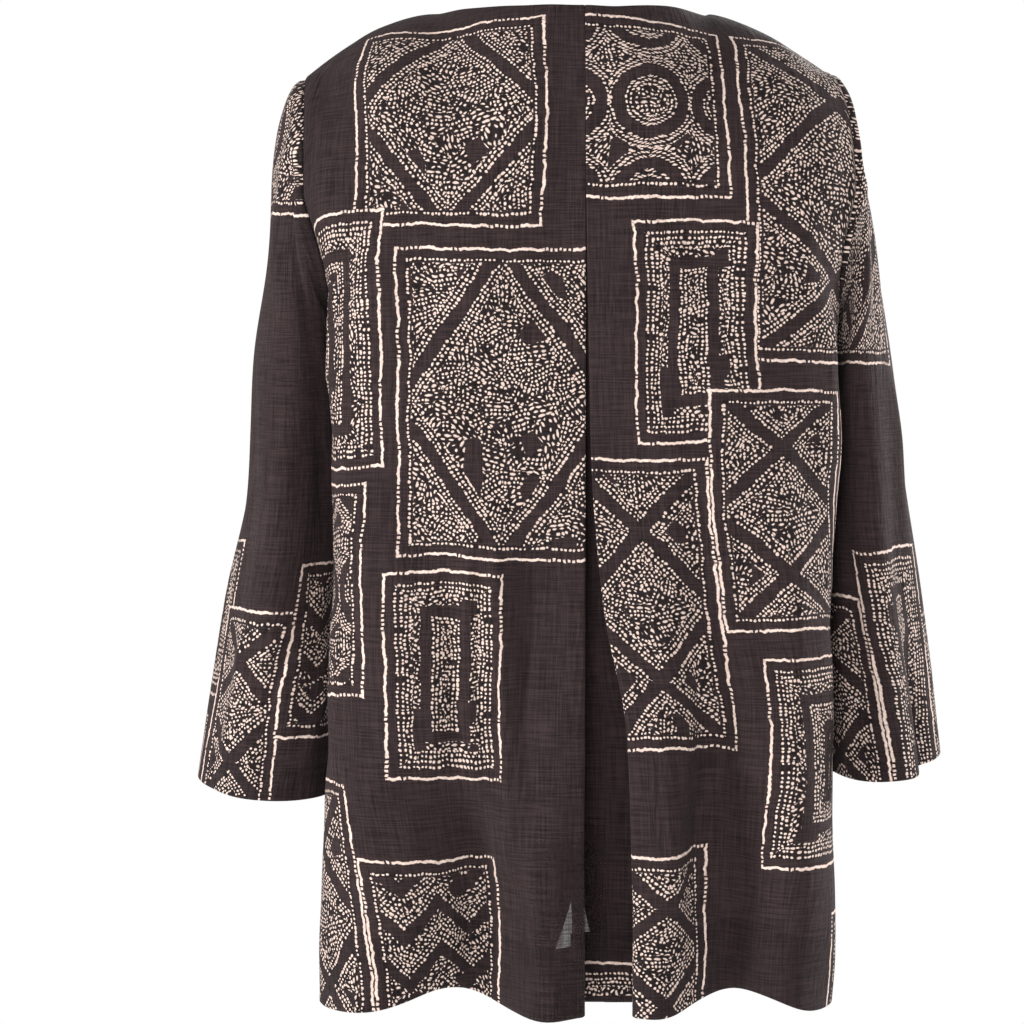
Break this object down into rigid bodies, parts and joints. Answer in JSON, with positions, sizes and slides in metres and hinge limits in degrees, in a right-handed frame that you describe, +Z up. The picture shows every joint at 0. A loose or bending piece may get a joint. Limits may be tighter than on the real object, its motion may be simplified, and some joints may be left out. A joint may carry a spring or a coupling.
{
  "type": "blouse",
  "caption": "Loose tunic blouse, filled out and hollow as when worn, with wide set-in sleeves, a round neck and an inverted back pleat that opens towards the hem.",
  "frame": {"origin": "midway between the neck ends of the shoulder seams, where the wearer's shoulders hold the blouse", "axes": "+Z up to the neck, +Y out of the back, -Y out of the front, +X to the wearer's left"},
  "size_m": [0.6041, 0.2627, 0.8024],
  "materials": {
    "cloth": "thin slubbed plain weave, matt, dark brown-charcoal with a cream dotted patchwork print"
  },
  "bodies": {
    "root": {"back": "cloth", "front_left": "cloth", "front_right": "cloth", "sleeve_left": "cloth", "sleeve_right": "cloth"}
  },
  "joints": []
}
